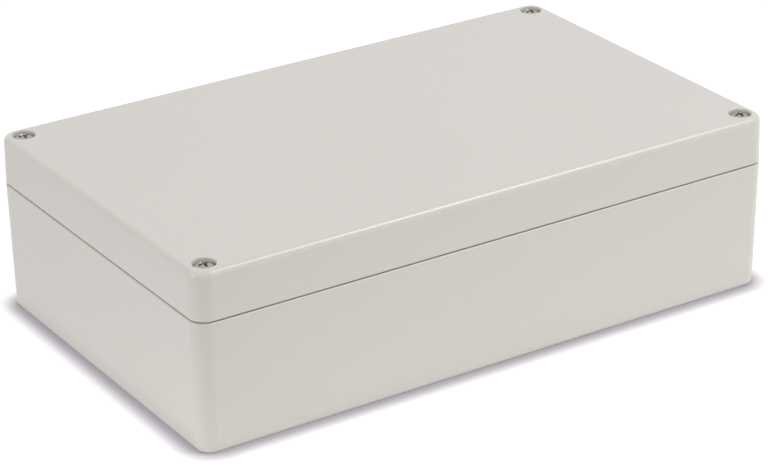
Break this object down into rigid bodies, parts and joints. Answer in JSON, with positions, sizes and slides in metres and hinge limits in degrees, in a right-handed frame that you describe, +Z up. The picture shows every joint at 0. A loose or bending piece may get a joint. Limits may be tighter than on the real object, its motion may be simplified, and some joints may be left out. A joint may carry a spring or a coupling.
{
  "type": "sealed plastic enclosure",
  "caption": "Rectangular sealed plastic enclosure with a deep base, a lid with a thick skirt, captive corner screws and a rubber seal.",
  "frame": {"origin": "centre of the underside of the base", "axes": "+X along the long side, +Y along the short side, +Z up through the lid"},
  "size_m": [0.23, 0.14, 0.065],
  "materials": {
    "case_plastic": "satin moulded",
    "seal_rubber": "matte",
    "screw_steel": "bright",
    "insert_brass": "turned",
    "ring_plastic": "natural"
  },
  "bodies": {
    "base": {"base_box": "case_plastic", "screw_insert_front_left": "insert_brass", "screw_insert_front_right": "insert_brass", "screw_insert_rear_left": "insert_brass", "screw_insert_rear_right": "insert_brass"},
    "lid": {"lid": "case_plastic", "lid_seal": "seal_rubber"},
    "ring_front_left": {"keeper_ring_front_left": "ring_plastic"},
    "screw_front_left": {"lid_screw_front_left": "screw_steel"},
    "ring_front_right": {"keeper_ring_front_right": "ring_plastic"},
    "screw_front_right": {"lid_screw_front_right": "screw_steel"},
    "ring_rear_left": {"keeper_ring_rear_left": "ring_plastic"},
    "screw_rear_left": {"lid_screw_rear_left": "screw_steel"},
    "ring_rear_right": {"keeper_ring_rear_right": "ring_plastic"},
    "screw_rear_right": {"lid_screw_rear_right": "screw_steel"}
  },
  "joints": [
    {"name": "lid_lift", "type": "slide", "parent": "base", "child": "lid", "axis": [0, 0, 1], "range_m": [0, 0.08]},
    {"name": "screw_rise_front_left", "type": "slide", "parent": "lid", "child": "ring_front_left", "axis": [0, 0, 1], "range_m": [0, 0.0112]},
    {"name": "screw_turn_front_left", "type": "hinge", "parent": "ring_front_left", "child": "screw_front_left", "pos_m": [-0.108, -0.063, 0.047], "axis": [0, 0, 1], "range_deg": [0, 5760]},
    {"name": "screw_rise_front_right", "type": "slide", "parent": "lid", "child": "ring_front_right", "axis": [0, 0, 1], "range_m": [0, 0.0112]},
    {"name": "screw_turn_front_right", "type": "hinge", "parent": "ring_front_right", "child": "screw_front_right", "pos_m": [0.108, -0.063, 0.047], "axis": [0, 0, 1], "range_deg": [0, 5760]},
    {"name": "screw_rise_rear_left", "type": "slide", "parent": "lid", "child": "ring_rear_left", "axis": [0, 0, 1], "range_m": [0, 0.0112]},
    {"name": "screw_turn_rear_left", "type": "hinge", "parent": "ring_rear_left", "child": "screw_rear_left", "pos_m": [-0.108, 0.063, 0.047], "axis": [0, 0, 1], "range_deg": [0, 5760]},
    {"name": "screw_rise_rear_right", "type": "slide", "parent": "lid", "child": "ring_rear_right", "axis": [0, 0, 1], "range_m": [0, 0.0112]},
    {"name": "screw_turn_rear_right", "type": "hinge", "parent": "ring_rear_right", "child": "screw_rear_right", "pos_m": [0.108, 0.063, 0.047], "axis": [0, 0, 1], "range_deg": [0, 5760]}
  ],
  "couplings": [
    {"joint": "screw_turn_front_left", "follows": "screw_rise_front_left", "rad_per_m": 8976},
    {"joint": "screw_turn_front_right", "follows": "screw_rise_front_right", "rad_per_m": 8976},
    {"joint": "screw_turn_rear_left", "follows": "screw_rise_rear_left", "rad_per_m": 8976},
    {"joint": "screw_turn_rear_right", "follows": "screw_rise_rear_right", "rad_per_m": 8976}
  ]
}
